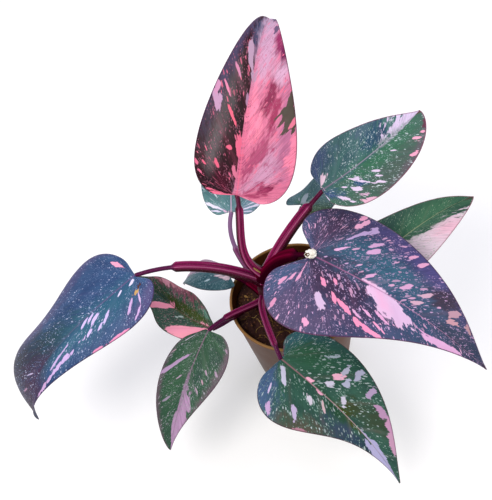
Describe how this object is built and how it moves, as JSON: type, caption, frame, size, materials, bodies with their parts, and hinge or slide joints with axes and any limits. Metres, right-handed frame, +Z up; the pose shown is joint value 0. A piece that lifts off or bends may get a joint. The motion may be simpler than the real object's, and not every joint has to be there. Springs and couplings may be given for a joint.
{
  "type": "potted philodendron",
  "caption": "Potted aroid house plant: short upright stem, wine-red sheathed petioles and dark heart-shaped leaves splashed with pink, in a round plastic nursery pot.",
  "frame": {"origin": "centre of the pot's base, on the surface that it stands on", "axes": "+Z up along the pot's axis; a viewer in front stands towards -Y with +X to the right, where the largest leaf points"},
  "size_m": [0.4403, 0.3303, 0.3217],
  "materials": {
    "pot_plastic": "satin",
    "potting_mix": "matte",
    "stem": "satin",
    "petiole": "satin",
    "leaf": "satin"
  },
  "bodies": {
    "root": {"pot": "pot_plastic", "soil": "potting_mix", "stem": "stem", "leaf_top_petiole": "petiole", "leaf_top_blade": "leaf", "leaf_right_front_petiole": "petiole", "leaf_right_front_blade": "leaf", "leaf_right_upper_petiole": "petiole", "leaf_right_upper_blade": "leaf", "leaf_left_petiole": "petiole", "leaf_left_blade": "leaf", "leaf_top_rear_petiole": "petiole", "leaf_top_rear_blade": "leaf", "leaf_right_rear_petiole": "petiole", "leaf_right_rear_blade": "leaf", "leaf_right_upper_rear_petiole": "petiole", "leaf_right_upper_rear_blade": "leaf", "leaf_front_petiole": "petiole", "leaf_front_blade": "leaf", "leaf_front_left_petiole": "petiole", "leaf_front_left_blade": "leaf", "leaf_left_inner_petiole": "petiole", "leaf_left_inner_blade": "leaf", "leaf_left_rear_petiole": "petiole", "leaf_left_rear_blade": "leaf"}
  },
  "joints": []
}
